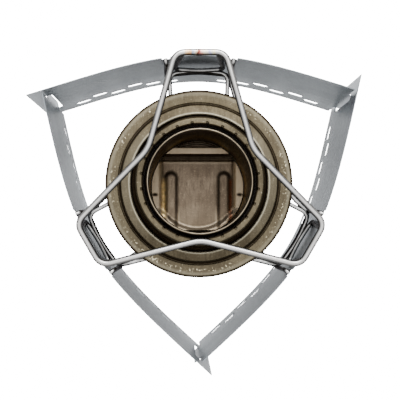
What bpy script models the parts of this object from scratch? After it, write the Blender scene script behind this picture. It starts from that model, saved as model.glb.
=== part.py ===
"""Spirit burner stove: brass burner, wire cradle, wire pot support and a slotted three-panel windshield.

Units are metres, +Z is up.  The origin is the centre of the burner's flat underside, and the
windshield stands on the ground 5 mm below it.  Everything repeats three times around the Z axis;
the first lobe of the wire work points along +Y.
"""

from math import atan, atan2, cos, pi, radians, sin, sqrt

import bmesh
import bpy
from mathutils import Matrix, Vector

MM = 0.001
GAP = 0.3 * MM              # clearance between neighbouring pieces
LOBES = 3
LOBE_STEP = 2 * pi / LOBES

# Windshield: three bowed sheets that cross at the corners of an equilateral triangle
GROUND_Z = -5.0 * MM
PANEL_HEIGHT = 48.0 * MM
PANEL_THICKNESS = 0.4 * MM
CORNER_RADIUS = 70.0 * MM   # axis to the line where two panels cross
PANEL_MID_RADIUS = 48.5 * MM
BOW_FULLNESS = 1.4          # slope at the corners over the slope of a straight line to the middle
BOW_STEPS = 40              # steps used to follow the bowed line
PANEL_OVERHANG = 6.3 * MM   # slotted end, past the crossing
TONGUE_LENGTH = 2.4 * MM    # tongue, past the crossing
SHOULDER_SETBACK = 1.2 * MM # full-height part of the tongue end, short of the crossing
LATCH_SLOT_WIDTH = 3.05 * MM
LATCH_SLOT_INSET = 0.475 * MM   # slot's middle, from the crossing towards the panel's middle
LATCH_SLOT_LOW = 10.0 * MM
LATCH_SLOT_HIGH = 37.5 * MM
TONGUE_PLAY = 0.6 * MM
VENT_PITCH = 7.9 * MM
VENT_LENGTH = 6.9 * MM
VENT_HEIGHT = 3.2 * MM
VENT_MIDDLES_MM = (5.0, 6.6, 11.0, 6.6, 11.0, 6.6)      # above the bottom edge, from the middle out
FIRST_VENT = 1.5            # first vent's distance from the middle, in pitches
NOTCH_HALF_SPACING = 13.0 * MM
NOTCH_WIDTH = 3.2 * MM
NOTCH_DEPTH = 3.6 * MM
PANEL_FACET = 8.0 * MM
SLOT_END_STEPS = 4          # straight pieces in each round end of a slot
VENT_END_STEPS = 3
GATE_PANEL = 1              # counted from 0; its tongue sits in the first panel's slot

# Burner: outer shells, radii and heights in millimetres
BOWL_SHEET_MM = 0.6
BASE_FLAT_R_MM = 22.0
LIP_R_MM = 36.5
LIP_Z_MM = 28.0
FLANGE_R_MM = 37.5
FLANGE_Z_MM = 30.0
LAND_Z_MM = 44.9

# Wire work
POT_WIRE_R = 1.2 * MM
CRADLE_WIRE_R = 1.0 * MM
THIN_WIRE_R = 0.9 * MM
WIRE_SIDES_RESOLUTION = 2
LEG_HALF_ANGLE = radians(15.8)
POT_RING_Z = 54.0 * MM
POT_END_RADIUS = 47.2 * MM
POT_END_HALF = 9.1 * MM
POT_CORNER_R = 3.6 * MM
POT_INNER_R = 14.0 * MM
REST_Z = LIP_Z_MM * MM - GAP - THIN_WIRE_R
CRADLE_Z = REST_Z - THIN_WIRE_R - GAP - CRADLE_WIRE_R
CRADLE_HUG_R = 32.8 * MM     # cradle ring's centre line around the bowl
CRADLE_ARC_STEPS = 8
LOOP_MID_RADIUS = 46.3 * MM
LOOP_CORNER_RADIUS = 45.0 * MM
LOOP_CORNER_HALF = 11.9 * MM
LOOP_ARM_END = (11.3 * MM, 31.9 * MM)
LOOP_CORNER_R = 3.2 * MM
BRACKET_Z = REST_Z + 2 * THIN_WIRE_R + GAP
BRACKET_HALF = 10.0 * MM
BRACKET_TOP_HALF = 6.4 * MM
BRACKET_TOP_Z = POT_RING_Z - POT_WIRE_R - GAP
BRACKET_END_RADIUS = 46.7 * MM
BRACKET_MID_RADIUS = 46.0 * MM
HANGER_HALF = 12.6 * MM
HANGER_RADIUS = 46.1 * MM

# Burner: inner pieces
JETS = 24
JET_CIRCLE_R = 22.4 * MM
JET_R = 0.45 * MM
TURN_STEPS = 40
THREAD_TURNS = 3
THREAD_PITCH_MM = 3.2
THREAD_ROOT_R_MM = 24.9
THREAD_CREST_R_MM = 25.4
PASSAGE_Y = -3.0 * MM
PASSAGE_Z = 4.6 * MM
PASSAGE_R = 1.6 * MM
PLATE_R = 20.1 * MM
PLATE_BACK_Y = 17.4 * MM
PLATE_FRONT_Y = -18.6 * MM
PLATE_UNDERSIDE_Z = 2.4 * MM
PLATE_SHEET = 0.6 * MM
PLATE_ROWS = 30
PLATE_HALF_COLUMNS = 16

STEEL_SHEET = (0.43, 0.45, 0.47)
STEEL_WIRE = (0.62, 0.61, 0.59)
DARK_WIRE = (0.30, 0.30, 0.30)
BRASS_AGED = (0.36, 0.31, 0.21)
BRASS_DARK = (0.20, 0.16, 0.10)
COTTON = (0.66, 0.60, 0.50)


def clear_scene():
    for item in list(bpy.data.objects):
        bpy.data.objects.remove(item, do_unlink=True)


def make_material(name, colour, roughness, metallic):
    material = bpy.data.materials.new(name)
    material.use_nodes = True
    shader = material.node_tree.nodes["Principled BSDF"]
    shader.inputs["Base Color"].default_value = (*colour, 1.0)
    shader.inputs["Roughness"].default_value = roughness
    shader.inputs["Metallic"].default_value = metallic
    return material


def link_object(name, data, material, parent=None):
    item = bpy.data.objects.new(name, data)
    bpy.context.scene.collection.objects.link(item)
    if material is not None:
        item.data.materials.append(material)
    item.parent = parent
    return item


def empty_at(name, location, parent=None):
    item = bpy.data.objects.new(name, None)
    bpy.context.scene.collection.objects.link(item)
    item.parent = parent
    item.location = location
    return item


def spin_z(point, angle):
    return Matrix.Rotation(angle, 3, "Z") @ Vector(point)


def rounded_path(points, radii, steps=4):
    """Replace each corner of a polyline by a circular arc of the radius given for it."""
    count = len(points)
    result = []
    for index, (point, radius) in enumerate(zip(points, radii)):
        corner = Vector(point)
        if radius == 0:
            result.append(corner)
            continue
        before = (Vector(points[index - 1]) - corner).normalized()
        after = (Vector(points[(index + 1) % count]) - corner).normalized()
        half = before.angle(after) / 2
        reach = radius * cos(half) / sin(half)
        centre = corner + (before + after).normalized() * (radius / sin(half))
        start = corner + before * reach - centre
        finish = corner + after * reach - centre
        sweep = start.angle(finish)
        for step in range(steps + 1):
            share = step / steps
            weight_a = sin((1 - share) * sweep) / sin(sweep)
            weight_b = sin(share * sweep) / sin(sweep)
            result.append(centre + start * weight_a + finish * weight_b)
    return result


def make_wire(name, path, wire_radius, closed, material, parent):
    """Round wire along a path, with flat ends when it isn't a closed ring."""
    curve = bpy.data.curves.new(name, "CURVE")
    curve.dimensions = "3D"
    curve.bevel_depth = wire_radius
    curve.bevel_resolution = WIRE_SIDES_RESOLUTION
    curve.render_resolution_u = 0
    curve.use_fill_caps = True
    spline = curve.splines.new("POLY")
    spline.points.add(len(path) - 1)
    for target, point in zip(spline.points, path):
        target.co = (*point, 1.0)
    spline.use_cyclic_u = closed
    spline.use_smooth = True
    return link_object(name, curve, material, parent)


def pot_ring_path():
    """Three-lobed ring: short end bars and legs that widen inwards until neighbouring legs meet."""
    slope_x = sin(LEG_HALF_ANGLE)
    slope_y = -cos(LEG_HALF_ANGLE)
    line_x = cos(radians(30))
    line_y = sin(radians(30))
    # a leg leaves (POT_END_HALF, POT_END_RADIUS) and meets the 30 degree line between two lobes
    reach = (POT_END_RADIUS * line_x - POT_END_HALF * line_y) / (slope_x * line_y - slope_y * line_x)
    inner_distance = (POT_END_HALF + reach * slope_x) / line_x
    lobe_corners = [
        (-POT_END_HALF, POT_END_RADIUS, POT_CORNER_R),
        (POT_END_HALF, POT_END_RADIUS, POT_CORNER_R),
        (inner_distance * line_x, inner_distance * line_y, POT_INNER_R),
    ]
    return repeat_lobes(lobe_corners, POT_RING_Z)


def cradle_ring_path():
    """Three-lobed ring whose legs widen inwards, then follow a circle round the burner's bowl."""
    slope_x = sin(LEG_HALF_ANGLE)
    slope_y = -cos(LEG_HALF_ANGLE)
    start_x = LOOP_CORNER_HALF + 0.4 * MM
    start_y = LOOP_CORNER_RADIUS
    # the leg meets the circle where its distance from the axis is CRADLE_HUG_R
    along = -(start_x * slope_x + start_y * slope_y)
    reach = along - sqrt(along * along - (start_x ** 2 + start_y ** 2 - CRADLE_HUG_R ** 2))
    foot_x = start_x + reach * slope_x
    foot_y = start_y + reach * slope_y
    first = atan2(foot_y, foot_x)
    last = 2 * radians(30) - first
    lobe_corners = [
        (-start_x, start_y, LOOP_CORNER_R),
        (0.0, LOOP_MID_RADIUS, 50.0 * MM),
        (start_x, start_y, LOOP_CORNER_R),
        (foot_x, foot_y, LOOP_CORNER_R),
    ]
    for step in range(1, CRADLE_ARC_STEPS):
        angle = first + (last - first) * step / CRADLE_ARC_STEPS
        lobe_corners.append((CRADLE_HUG_R * cos(angle), CRADLE_HUG_R * sin(angle), 0.0))
    lobe_corners.append((CRADLE_HUG_R * cos(last), CRADLE_HUG_R * sin(last), LOOP_CORNER_R))
    return repeat_lobes(lobe_corners, CRADLE_Z)


def repeat_lobes(lobe_corners, height):
    points = []
    radii = []
    for lobe in range(LOBES):
        for x, y, radius in lobe_corners:
            points.append(spin_z((x, y, height), -lobe * LOBE_STEP))
            radii.append(radius)
    return rounded_path(points, radii)


def round_ended_slot(length, width, steps):
    """Slot centred on zero and long in its first coordinate: two half circles and two straight sides."""
    points = []
    reach = (length - width) / 2
    for end in (0, 1):
        for step in range(steps + 1):
            angle = -pi / 2 + pi * step / steps + pi * end
            side = reach if end == 0 else -reach
            points.append((side + width / 2 * cos(angle), width / 2 * sin(angle)))
    return points


def latch_slot_outline(crossing):
    """Upright slot at the panel's slotted end, which takes the next panel's tongue."""
    middle = (LATCH_SLOT_LOW + LATCH_SLOT_HIGH) / 2
    outline = round_ended_slot(LATCH_SLOT_HIGH - LATCH_SLOT_LOW, LATCH_SLOT_WIDTH, SLOT_END_STEPS)
    return [(LATCH_SLOT_INSET - crossing - across, middle + along) for along, across in outline]


def vent_outlines():
    """Vent slots of a panel, alternating between two heights, with a plain stretch in the middle."""
    outlines = []
    for side in (-1, 1):
        for index, height in enumerate(VENT_MIDDLES_MM):
            centre = side * (FIRST_VENT + index) * VENT_PITCH
            middle = height * MM
            outline = round_ended_slot(VENT_LENGTH, VENT_HEIGHT, VENT_END_STEPS)
            outlines.append([(centre + along, middle + across) for along, across in outline])
    return outlines


def panel_outline(crossing):
    """Outer edge of the flat blank: slotted end at -s, tongue at +s, two notches in the top edge."""
    left = -crossing - PANEL_OVERHANG
    shoulder = crossing - SHOULDER_SETBACK
    tip = crossing + TONGUE_LENGTH
    low = LATCH_SLOT_LOW + TONGUE_PLAY
    high = LATCH_SLOT_HIGH - TONGUE_PLAY
    half = NOTCH_WIDTH / 2
    floor = PANEL_HEIGHT - NOTCH_DEPTH
    points = [(left, 0.0), (shoulder, 0.0), (shoulder, low), (tip, low)]
    points += [(tip, high), (shoulder, high), (shoulder, PANEL_HEIGHT)]
    for centre in (NOTCH_HALF_SPACING, -NOTCH_HALF_SPACING):
        points += [(centre + half, PANEL_HEIGHT), (centre + half, floor + half)]
        points += [(centre + half * 0.6, floor + half * 0.2), (centre, floor)]
        points += [(centre - half * 0.6, floor + half * 0.2), (centre - half, floor + half)]
        points += [(centre - half, PANEL_HEIGHT)]
    points += [(left, PANEL_HEIGHT)]
    return points


def bow_height(x):
    """Y of the bowed sheet's middle line at x, and its slope there.

    With q = 1 - |x| / half chord, Y = corner + rise (F q - (F - 1) q ^ (F / (F - 1))).  The line bends
    most in the middle and least at the corners, and past a corner it runs straight on.
    """
    half_chord = CORNER_RADIUS * cos(radians(30))
    corner_y = CORNER_RADIUS * sin(radians(30))
    rise = PANEL_MID_RADIUS - corner_y
    power = BOW_FULLNESS / (BOW_FULLNESS - 1)
    share = 1 - abs(x) / half_chord
    inside = max(share, 0.0)
    y = corner_y + rise * (BOW_FULLNESS * share - (BOW_FULLNESS - 1) * inside ** power)
    slope = rise / half_chord * BOW_FULLNESS * (1 - inside ** (power - 1))
    return y, -slope if x > 0 else slope


def bow_crossing():
    """Length of the bowed line from its middle to a corner."""
    half_chord = CORNER_RADIUS * cos(radians(30))
    stride = half_chord / BOW_STEPS
    slopes = [bow_height((step + 0.5) * stride)[1] for step in range(BOW_STEPS)]
    return sum(stride * sqrt(1 + slope * slope) for slope in slopes)


def bow_place(distance):
    """Point at a distance along the bowed line from its middle, and the line's angle there."""
    x = 0.0
    stride = distance / BOW_STEPS
    for _ in range(BOW_STEPS):
        halfway = x + stride / 2 * cos(atan(bow_height(x)[1]))
        x += stride * cos(atan(bow_height(halfway)[1]))
    y, slope = bow_height(x)
    return x, y, atan(slope)


def make_panel(name, material, parent, angle):
    """Cut the flat blank, give it its thickness, then bow it along bow_height().

    The blank lies in s (along the panel) and z.  The bowed line passes through both corner lines
    and bulges outwards to PANEL_MID_RADIUS, and s is the length along it from the middle.
    """
    crossing = bow_crossing()
    mesh = bpy.data.meshes.new(name)
    blank = bmesh.new()
    loops = [panel_outline(crossing)]
    loops.append(latch_slot_outline(crossing))
    loops += vent_outlines()
    for loop in loops:
        ring = [blank.verts.new((s, 0.0, z)) for s, z in loop]
        for index, vert in enumerate(ring):
            blank.edges.new((vert, ring[(index + 1) % len(ring)]))
    bmesh.ops.triangle_fill(blank, use_beauty=True, edges=blank.edges[:], normal=(0, 1, 0))
    body = bmesh.ops.extrude_face_region(blank, geom=blank.faces[:])
    moved = [item for item in body["geom"] if isinstance(item, bmesh.types.BMVert)]
    bmesh.ops.translate(blank, verts=moved, vec=(0.0, PANEL_THICKNESS, 0.0))
    facets = int(crossing / PANEL_FACET)
    for step in range(-facets, facets + 1):
        everything = blank.verts[:] + blank.edges[:] + blank.faces[:]
        bmesh.ops.bisect_plane(blank, geom=everything, dist=1e-7,
                               plane_co=(step * PANEL_FACET, 0.0, 0.0), plane_no=(1.0, 0.0, 0.0))
    bmesh.ops.recalc_face_normals(blank, faces=blank.faces[:])
    turn = Matrix.Rotation(angle, 3, "Z")
    for vert in blank.verts:
        x, y, lean = bow_place(vert.co.x)
        outwards = vert.co.y - PANEL_THICKNESS / 2
        place = Vector((x - outwards * sin(lean), y + outwards * cos(lean), vert.co.z + GROUND_Z))
        vert.co = turn @ place - parent.location
    blank.to_mesh(mesh)
    blank.free()
    return link_object(name, mesh, material, parent)


def make_turned(name, profile, material, parent=None, steps=TURN_STEPS):
    """Turn a closed half section about the Z axis; points on the axis become single poles."""
    mesh = bpy.data.meshes.new(name)
    shape = bmesh.new()
    rows = []
    for radius, height in profile:
        if radius < 1e-7:
            rows.append([shape.verts.new((0.0, 0.0, height))] * steps)
            continue
        row = []
        for step in range(steps):
            angle = 2 * pi * step / steps
            row.append(shape.verts.new((radius * cos(angle), radius * sin(angle), height)))
        rows.append(row)
    ring_pairs = zip(rows, rows[1:] + rows[:1])
    for lower, upper in ring_pairs:
        for step in range(steps):
            following = (step + 1) % steps
            corners = [lower[step], lower[following], upper[following], upper[step]]
            unique = list(dict.fromkeys(corners))
            if len(unique) > 2:
                shape.faces.new(unique)
    bmesh.ops.recalc_face_normals(shape, faces=shape.faces[:])
    shape.to_mesh(mesh)
    shape.free()
    mesh.shade_smooth()
    mesh.set_sharp_from_angle(angle=radians(35))
    return link_object(name, mesh, material, parent)


def mm_profile(points):
    return [(radius * MM, height * MM) for radius, height in points]


def offset_profile(points, thickness):
    """Second surface of a sheet: each point moves at right angles to the profile by the thickness."""
    moved = []
    for index, point in enumerate(points):
        here = Vector(point)
        before = Vector(points[max(index - 1, 0)])
        after = Vector(points[min(index + 1, len(points) - 1)])
        first = (here - before).normalized() if index else (after - here).normalized()
        second = (after - here).normalized() if index < len(points) - 1 else first
        direction = (first + second).normalized()
        stretch = 1 / max(direction.dot(first), 0.5)
        normal = Vector((-direction.y, direction.x))
        moved.append(tuple(here + normal * thickness * stretch))
    return moved


def cut(item, cutter):
    modifier = item.modifiers.new("cut_" + cutter.name, "BOOLEAN")
    modifier.operation = "DIFFERENCE"
    modifier.solver = "EXACT"
    modifier.object = cutter
    cutter.hide_render = True
    cutter.display_type = "WIRE"


def make_cutter(name, fill):
    mesh = bpy.data.meshes.new(name)
    shape = bmesh.new()
    fill(shape)
    bmesh.ops.recalc_face_normals(shape, faces=shape.faces[:])
    shape.to_mesh(mesh)
    shape.free()
    return link_object(name, mesh, None)


def make_windshield(material):
    """Panel 1 holds panel 3 by its tongue, and panel 2 swings about its own tongue in panel 1."""
    base = empty_at("windshield_axis", (0.0, 0.0, 0.0))
    gate = empty_at("gate_axis", spin_z((0.0, CORNER_RADIUS, 0.0), LOBE_STEP / 2))
    for index in range(LOBES):
        parent = gate if index == GATE_PANEL else base
        make_panel(f"windshield_panel_{index + 1}", material, parent, index * LOBE_STEP)


def make_pot_support(wire_material, thin_material):
    base = empty_at("pot_support_axis", (0.0, 0.0, 0.0))
    make_wire("pot_ring", pot_ring_path(), POT_WIRE_R, True, wire_material, base)
    for lobe in range(LOBES):
        path = bracket_path(lobe * LOBE_STEP)
        make_wire(f"riser_bracket_{lobe + 1}", path, THIN_WIRE_R, False, thin_material, base)


def bracket_path(turn):
    """U-shaped riser: a bar bowed inwards, and two arms that rise to the pot ring's end bar."""
    points = []
    radii = []
    for side in (-1, 1):
        top = (side * BRACKET_TOP_HALF, POT_END_RADIUS, BRACKET_TOP_Z)
        foot = (side * BRACKET_HALF, BRACKET_END_RADIUS, BRACKET_Z)
        pair = [(top, 0.0), (foot, 2.2 * MM)]
        for point, radius in pair if side < 0 else reversed(pair):
            points.append(spin_z(point, turn))
            radii.append(radius)
        if side < 0:
            points.append(spin_z((0.0, BRACKET_MID_RADIUS, BRACKET_Z), turn))
            radii.append(60.0 * MM)
    return rounded_path(points, radii)


def rest_loop_path(turn):
    """Flat loop under the burner's flange: an end bar bowed outwards and two arms."""
    arm_x, arm_y = LOOP_ARM_END
    points = [(-arm_x, arm_y), (-LOOP_CORNER_HALF, LOOP_CORNER_RADIUS), (0.0, LOOP_MID_RADIUS)]
    points += [(LOOP_CORNER_HALF, LOOP_CORNER_RADIUS), (arm_x, arm_y)]
    radii = [0.0, LOOP_CORNER_R, 50.0 * MM, LOOP_CORNER_R, 0.0]
    return rounded_path([spin_z((x, y, REST_Z), turn) for x, y in points], radii)


def hanger_path(turn, side):
    """Wire that lies in a notch of the panel's top edge and runs down inside to the cradle ring."""
    notch_floor = GROUND_Z + PANEL_HEIGHT - NOTCH_DEPTH
    notch_z = notch_floor + THIN_WIRE_R + GAP
    foot_z = CRADLE_Z + CRADLE_WIRE_R + GAP
    points = [
        (side * (NOTCH_HALF_SPACING + 0.3 * MM), PANEL_MID_RADIUS - 0.8 * MM, notch_z),
        (side * (NOTCH_HALF_SPACING - 0.1 * MM), HANGER_RADIUS - 0.3 * MM, notch_z),
        (side * (HANGER_HALF + 0.5 * MM), HANGER_RADIUS - 1.8 * MM, foot_z),
    ]
    return rounded_path([spin_z(point, turn) for point in points], [0.0, 1.2 * MM, 0.0])


def make_cradle(material):
    base = empty_at("cradle_axis", (0.0, 0.0, 0.0))
    make_wire("cradle_ring", cradle_ring_path(), CRADLE_WIRE_R, True, material, base)
    for lobe in range(LOBES):
        turn = lobe * LOBE_STEP
        make_wire(f"rest_loop_{lobe + 1}", rest_loop_path(turn), THIN_WIRE_R, False, material, base)
        for order, side in enumerate((-1, 1)):
            name = f"hanger_wire_{2 * lobe + order + 1}"
            make_wire(name, hanger_path(turn, side), THIN_WIRE_R, False, material, base)


def make_burner_bowl(material, parent):
    outside = [(0.0, 0.0), (BASE_FLAT_R_MM, 0.0), (25.0, 0.7), (27.3, 2.4), (28.6, 5.0),
               (30.3, LIP_Z_MM - 1.2), (31.2, LIP_Z_MM - 0.2), (LIP_R_MM, LIP_Z_MM)]
    inside = offset_profile(outside, BOWL_SHEET_MM)
    return make_turned("burner_bowl", mm_profile(outside + inside[::-1]), material, parent)


def make_burner_collar(material, parent):
    """Upper shell: rolled edge, flange, step, shoulder, threaded neck and the jet land."""
    edge = FLANGE_R_MM
    flange = FLANGE_Z_MM
    land = LAND_Z_MM
    top = [(edge, flange - 1.8), (edge, flange - 0.4), (edge - 0.4, flange), (32.8, flange),
           (32.5, flange - 0.3), (31.9, flange - 0.3), (31.3, flange + 3.0), (30.9, flange + 3.5),
           (27.7, flange + 4.2), (27.1, flange + 3.9), (26.8, flange + 2.6), (25.7, flange + 2.2)]
    for turn in range(THREAD_TURNS):
        low = flange + 3.6 + turn * THREAD_PITCH_MM
        top += [(THREAD_ROOT_R_MM, low), (THREAD_CREST_R_MM, low + THREAD_PITCH_MM / 2)]
    top += [(24.9, land - 1.6), (24.6, land - 0.5), (24.1, land), (22.3, land),
            (21.9, land - 0.5), (21.8, land - 3.3)]
    under = [(22.3, land - 3.3), (22.4, land - 0.8), (23.8, land - 0.6), (24.2, land - 1.6),
             (24.3, flange + 1.6), (27.2, flange + 2.0), (27.6, flange + 3.4), (30.4, flange + 2.8),
             (30.7, flange + 2.4), (31.3, flange - 0.9), (32.8, flange - 0.9), (33.1, flange - 0.6),
             (edge - 0.7, flange - 0.6), (edge - 0.6, flange - 1.8)]
    return make_turned("burner_collar", mm_profile(top + under), material, parent)


def jet_cutter():
    """Ring of small upright holes through the collar's top land."""
    def fill(shape):
        for jet in range(JETS):
            angle = 2 * pi * (jet + 0.5) / JETS
            spot = (JET_CIRCLE_R * cos(angle), JET_CIRCLE_R * sin(angle), LAND_Z_MM * MM)
            place = Matrix.Translation(spot)
            bmesh.ops.create_cone(shape, cap_ends=True, segments=6, radius1=JET_R, radius2=JET_R,
                                  depth=4 * MM, matrix=place)
    return make_cutter("jet_cutter", fill)


def make_inner_wall(material, parent):
    """Inner wall of the double-walled cup, drawn in below the bead at its rim."""
    profile = mm_profile([(20.6, 1.9), (21.2, 1.9), (21.2, 40.4), (20.5, 42.0), (20.4, 44.4),
                          (20.2, 45.0), (19.8, 45.0), (19.6, 44.5), (19.8, 42.2), (20.6, 40.2)])
    return make_turned("inner_wall", profile, material, parent)


def passage_cutter():
    """Two fuel passages, low in opposite sides of the inner wall."""
    def fill(shape):
        place = Matrix.Translation((0.0, PASSAGE_Y, PASSAGE_Z)) @ Matrix.Rotation(pi / 2, 4, "Y")
        bmesh.ops.create_cone(shape, cap_ends=True, segments=12, radius1=PASSAGE_R,
                              radius2=PASSAGE_R, depth=60 * MM, matrix=place)
    return make_cutter("passage_cutter", fill)


def make_cup_floor(material, parent):
    """Turned floor of the cup: a shallow dished disc with a pressed groove near its edge."""
    profile = mm_profile([(0.0, 0.9), (20.3, 0.9), (20.3, 2.0), (19.7, 2.2), (19.1, 1.7),
                          (18.3, 1.7), (17.8, 1.9), (0.0, 1.9)])
    return make_turned("cup_floor", profile, material, parent)


def make_floor_plate(material, parent):
    """Pressed insert: a disc with a straight back edge, shaped by plate_height()."""
    mesh = bpy.data.meshes.new("floor_plate")
    shape = bmesh.new()
    last_column = 2 * PLATE_HALF_COLUMNS
    layers = []
    for layer in range(2):
        grid = []
        for row in range(PLATE_ROWS + 1):
            line = []
            y = PLATE_FRONT_Y + (PLATE_BACK_Y - PLATE_FRONT_Y) * row / PLATE_ROWS
            limit = sqrt(PLATE_R ** 2 - y * y)
            for column in range(last_column + 1):
                x = limit * (column / PLATE_HALF_COLUMNS - 1)
                z = PLATE_UNDERSIDE_Z + PLATE_SHEET * layer + plate_height(x, y)
                line.append(shape.verts.new((x, y, z)))
            grid.append(line)
        layers.append(grid)
    for row in range(PLATE_ROWS):
        for column in range(last_column):
            for layer, grid in enumerate(layers):
                face = [grid[row][column], grid[row][column + 1],
                        grid[row + 1][column + 1], grid[row + 1][column]]
                shape.faces.new(face if layer else face[::-1])
    border = [(0, column) for column in range(last_column + 1)]
    border += [(row, last_column) for row in range(1, PLATE_ROWS + 1)]
    border += [(PLATE_ROWS, column) for column in range(last_column - 1, -1, -1)]
    border += [(row, 0) for row in range(PLATE_ROWS - 1, 0, -1)]
    for index, (row, column) in enumerate(border):
        next_row, next_column = border[(index + 1) % len(border)]
        shape.faces.new([layers[0][row][column], layers[0][next_row][next_column],
                         layers[1][next_row][next_column], layers[1][row][column]])
    bmesh.ops.recalc_face_normals(shape, faces=shape.faces[:])
    shape.to_mesh(mesh)
    shape.free()
    mesh.shade_smooth()
    mesh.set_sharp_from_angle(angle=radians(40))
    return link_object("floor_plate", mesh, material, parent)


def soft_step(value, low, high):
    """0 below low, 1 above high, and a smooth curve between them."""
    share = min(max((value - low) / (high - low), 0.0), 1.0)
    return share * share * (3 - 2 * share)


def plate_height(x, y):
    """Raised middle with two ribs, a cross groove and a raised band at the back, and a front lip."""
    x_mm = abs(x) / MM
    y_mm = y / MM
    middle = 0.7 * (1 - soft_step(x_mm, 15.4, 16.6))
    rib_y = min(y_mm, 4.2)
    rib = 0.9 * (1 - soft_step(sqrt((x_mm - 11.6) ** 2 + (y_mm - rib_y) ** 2), 1.4, 2.9))
    groove = 0.5 * (soft_step(y_mm, 11.2, 12.0) - soft_step(y_mm, 13.6, 14.4))
    band = 2.2 * soft_step(y_mm, 13.8, 14.8)
    around = sqrt(x_mm ** 2 + y_mm ** 2)
    lip = 1.3 * soft_step(around, 17.0, 19.6) * soft_step(-y_mm, 8.0, 12.0)
    return (middle + rib - groove + band + lip) * MM


def make_wick(material, parent):
    profile = mm_profile([(21.5, 2.0), (23.8, 2.4), (24.0, 38.0), (22.8, 39.2), (21.5, 39.0)])
    return make_turned("wick", profile, material, parent, 32)


def make_burner(brass, dark_brass, cotton):
    axis = empty_at("burner_axis", (0.0, 0.0, 0.0))
    make_burner_bowl(brass, axis)
    collar = make_burner_collar(brass, axis)
    cut(collar, jet_cutter())
    wall = make_inner_wall(dark_brass, axis)
    cut(wall, passage_cutter())
    make_cup_floor(dark_brass, axis)
    make_floor_plate(brass, axis)
    make_wick(cotton, axis)


def main():
    clear_scene()
    sheet = make_material("windshield_steel", STEEL_SHEET, 0.38, 1.0)
    wire = make_material("pot_ring_steel", STEEL_WIRE, 0.25, 1.0)
    thin = make_material("cradle_steel", DARK_WIRE, 0.3, 1.0)
    brass = make_material("aged_brass", BRASS_AGED, 0.45, 1.0)
    dark_brass = make_material("sooty_brass", BRASS_DARK, 0.55, 1.0)
    cotton = make_material("wick_cotton", COTTON, 0.95, 0.0)
    make_windshield(sheet)
    make_pot_support(wire, thin)
    make_cradle(thin)
    make_burner(brass, dark_brass, cotton)
    bpy.context.view_layer.update()


main()
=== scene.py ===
"""Looks of the spirit burner stove: brass burner, wire cradle, pot ring and slotted windshield.

Every new piece is a surface worked out on a grid of two parameters.  Lengths in this file are in
millimetres, in the frame's axes, and become metres when a mesh is made.
"""

import bmesh
import bpy
import numpy as np
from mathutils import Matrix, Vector


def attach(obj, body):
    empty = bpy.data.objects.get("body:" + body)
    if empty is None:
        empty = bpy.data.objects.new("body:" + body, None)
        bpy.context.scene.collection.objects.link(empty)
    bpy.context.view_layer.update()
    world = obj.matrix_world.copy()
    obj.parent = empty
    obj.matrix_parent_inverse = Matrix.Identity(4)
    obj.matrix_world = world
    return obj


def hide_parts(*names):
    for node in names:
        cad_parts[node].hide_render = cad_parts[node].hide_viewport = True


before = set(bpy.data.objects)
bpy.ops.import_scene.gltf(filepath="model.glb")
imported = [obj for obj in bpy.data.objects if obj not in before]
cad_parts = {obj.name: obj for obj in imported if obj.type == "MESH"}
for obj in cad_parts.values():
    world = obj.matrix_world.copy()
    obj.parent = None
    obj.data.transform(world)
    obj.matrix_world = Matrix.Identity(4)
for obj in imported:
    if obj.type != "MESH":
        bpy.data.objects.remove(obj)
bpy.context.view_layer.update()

MM = 0.001
THIRD = 2 * np.pi / 3

# Windshield sheets
GROUND = -5.0
SHEET_HEIGHT = 48.0
SHEET_THICKNESS = 0.4
CORNER_RADIUS = 70.0
BULGE_RADIUS = 48.5
BOW_FULLNESS = 1.4
OVERHANG = 6.3
TONGUE = 2.4
SHOULDER_SETBACK = 1.2
LATCH_LOW = 10.0
LATCH_HIGH = 37.5
LATCH_WIDTH = 3.05
LATCH_INSET = 0.475
TONGUE_PLAY = 0.6
VENT_PITCH = 7.9
FIRST_VENT = 1.5
VENT_LENGTH = 6.9
VENT_HEIGHT = 3.2
VENT_MIDDLES = (5.0, 6.6, 11.0, 6.6, 11.0, 6.6)
NOTCH_PLACE = 13.0
NOTCH_WIDTH = 3.2
NOTCH_DEPTH = 3.6
SHEET_STEP = 0.6

# Wires: radius of the stock, and where each one runs
POT_WIRE = 1.2
CRADLE_WIRE = 1.0
THIN_WIRE = 0.9
LEG_ANGLE = np.radians(15.8)
POT_RING_Z = 54.0
POT_END_X = 9.1
POT_END_LINE = 47.2
POT_END_Y = (46.8, 47.6, 47.6)      # the ring is bent by hand, and its lobes differ a little
WELD_X = -0.7
LIP_Z = 28.0
REST_Z = LIP_Z - 0.3 - THIN_WIRE
CRADLE_Z = REST_Z - THIN_WIRE - 0.3 - CRADLE_WIRE
BRACKET_Z = REST_Z + 2 * THIN_WIRE + 0.3
CRADLE_HUG = 32.8

# Burner
FLANGE_R = 37.75
FLANGE_Z = 30.0
LAND_Z = 44.9
JETS = 24
JET_CIRCLE = 22.4
JET_R = 0.45
JET_EDGE = 0.12
JET_DEPTH = 2.5

# Stage: how bright the floor and the surround are to the stove, and to the camera
FLOOR_GLOW = (0.45, 20.0)
SURROUND_GLOW = (2.6, 40.0)


# ---------------------------------------------------------------- surfaces

def unit(vectors):
    """Each vector divided by its length."""
    return vectors / (np.linalg.norm(vectors, axis=-1, keepdims=True) + 1e-12)


def turned_about_z(points, angle):
    """Points turned about the Z axis."""
    cosine, sine = np.cos(angle), np.sin(angle)
    return points @ np.array([[cosine, sine, 0], [-sine, cosine, 0], [0, 0, 1]])


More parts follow.
